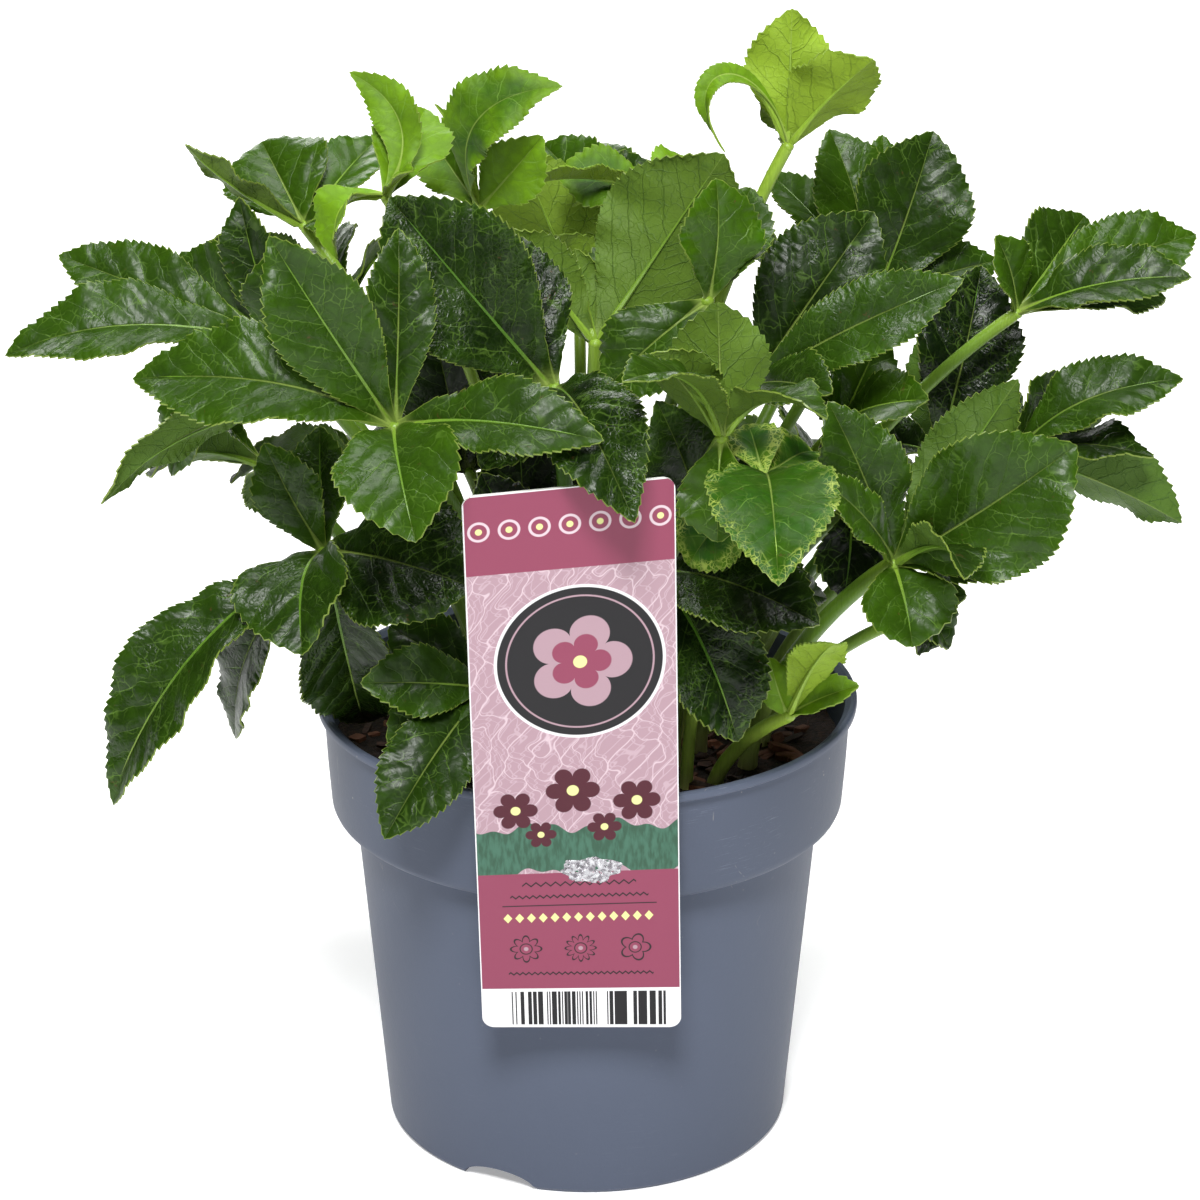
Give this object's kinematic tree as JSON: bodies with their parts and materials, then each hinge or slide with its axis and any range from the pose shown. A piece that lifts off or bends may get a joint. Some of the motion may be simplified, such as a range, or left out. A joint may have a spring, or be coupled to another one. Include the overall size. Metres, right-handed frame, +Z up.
{
  "type": "hellebore plant",
  "caption": "Leafy evergreen perennial with toothed, hand-shaped leaves on stout stalks, in soil in a round collared nursery pot with a hanging label card.",
  "frame": {"origin": "centre of the pot's foot, on the surface that the pot stands on", "axes": "+Z up along the pot's axis, -Y towards the front, where the label card hangs, +X to the right as seen from the front"},
  "size_m": [0.2963, 0.2615, 0.293],
  "materials": {
    "pot_plastic": "satin",
    "potting_soil": "matte",
    "label_card": "satin",
    "label_clip": "gloss",
    "mature_leaf": "satin",
    "young_leaf": "satin"
  },
  "bodies": {
    "root": {"pot": "pot_plastic", "soil": "potting_soil", "label_card": "label_card", "label_clip": "label_clip", "leaf_front_left": "mature_leaf", "leaf_low_left": "mature_leaf", "leaf_rim_left": "mature_leaf", "leaf_rim_right": "mature_leaf", "leaf_cup_centre": "young_leaf", "leaf_bright_centre": "young_leaf", "leaf_low_right": "mature_leaf", "leaf_upper_right": "mature_leaf", "leaf_far_right": "mature_leaf", "leaf_tall_dark_right": "mature_leaf", "leaf_back_right_tall": "mature_leaf", "leaf_centre_right": "mature_leaf", "leaf_olive_centre": "mature_leaf", "leaf_top_young": "young_leaf", "leaf_top_left_centre": "young_leaf", "leaf_twisted_young": "young_leaf", "leaf_upper_left": "mature_leaf", "leaf_left_mid": "mature_leaf", "leaf_far_left": "mature_leaf", "leaf_dark_centre": "mature_leaf", "leaf_olive_back": "young_leaf", "leaf_back_centre": "mature_leaf", "leaf_right_dark": "mature_leaf", "leaf_right_small": "mature_leaf", "leaf_young_shoot": "young_leaf", "leaf_label_dark": "mature_leaf", "leaf_inner_right": "mature_leaf", "leaf_mid_dark": "mature_leaf", "leaf_low_outer": "mature_leaf", "leaf_centre_upright": "mature_leaf", "leaf_bright_top_centre": "young_leaf", "leaf_back_left": "mature_leaf", "leaf_back_left_low": "mature_leaf", "leaf_back_mid": "mature_leaf", "leaf_back_mid_low": "mature_leaf", "leaf_back_right": "mature_leaf", "leaf_back_right_low": "mature_leaf", "leaf_side_right": "mature_leaf", "leaf_side_left": "mature_leaf", "leaf_back_young": "young_leaf"}
  },
  "joints": []
}
